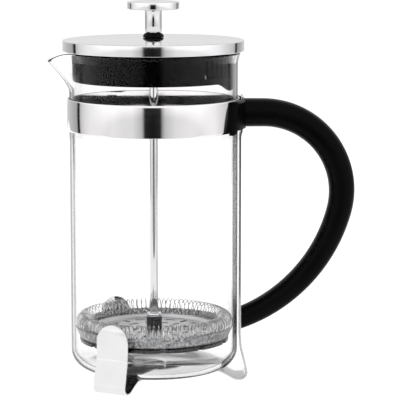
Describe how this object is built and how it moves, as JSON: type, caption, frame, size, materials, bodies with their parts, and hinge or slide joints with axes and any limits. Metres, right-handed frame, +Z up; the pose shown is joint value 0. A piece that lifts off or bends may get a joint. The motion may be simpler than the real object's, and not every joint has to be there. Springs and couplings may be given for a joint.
{
  "type": "french press",
  "caption": "Plunger coffee maker: glass beaker in a footed steel frame with a curved black handle, flat chrome lid and a spring-edged filter on a rod.",
  "frame": {"origin": "on the table, below the middle of the object's bounding box", "axes": "+Z up along the beaker, +X towards the handle, the spout at -X"},
  "size_m": [0.1774, 0.1051, 0.2192],
  "materials": {
    "beaker_glass": "clear blown glass",
    "polished_chrome": "mirror polished",
    "satin_steel": "bright, finely polished",
    "filter_steel": "drawn wire and pressed sheet",
    "dark_steel": "darker turned and pressed metal",
    "handle_black": "satin moulded",
    "lid_black": "moulded"
  },
  "bodies": {
    "frame": {"top_band": "satin_steel", "handle_strap": "satin_steel", "front_left_leg": "satin_steel", "back_left_leg": "satin_steel", "base_hub": "satin_steel", "base_rivet_handle": "satin_steel", "base_rivet_front_left": "satin_steel", "base_rivet_back_left": "satin_steel", "upper_handle_screw": "satin_steel", "lower_handle_screw": "satin_steel", "handle": "handle_black"},
    "beaker": {"glass_beaker": "beaker_glass"},
    "bush": {"lid_bush": "lid_black", "bush_nut": "satin_steel"},
    "lid": {"lid_cover": "polished_chrome", "lid_liner": "lid_black"},
    "plunger": {"plunger_rod": "polished_chrome", "knob_stem": "polished_chrome", "knob": "polished_chrome"},
    "filter": {"hub_spacer": "dark_steel", "hub_nut": "polished_chrome", "perforated_plate": "filter_steel", "screen_washer": "satin_steel", "mesh_screen": "filter_steel", "filter_spring": "filter_steel", "bottom_plate": "dark_steel", "bottom_nut": "satin_steel"}
  },
  "joints": [
    {"name": "beaker_lift", "type": "slide", "parent": "frame", "child": "beaker", "axis": [0, 0, 1], "range_m": [0, 0.17]},
    {"name": "lid_lift", "type": "slide", "parent": "beaker", "child": "bush", "axis": [0, 0, 1], "range_m": [0, 0.18]},
    {"name": "lid_turn", "type": "hinge", "parent": "bush", "child": "lid", "pos_m": [-0.02744, 0, 0.19], "axis": [0, 0, 1], "continuous": true},
    {"name": "plunger_slide", "type": "slide", "parent": "bush", "child": "plunger", "axis": [0, 0, 1], "range_m": [0, 0.128]},
    {"name": "filter_turn", "type": "hinge", "parent": "plunger", "child": "filter", "pos_m": [-0.02744, 0, 0.03], "axis": [0, 0, 1], "continuous": true}
  ]
}
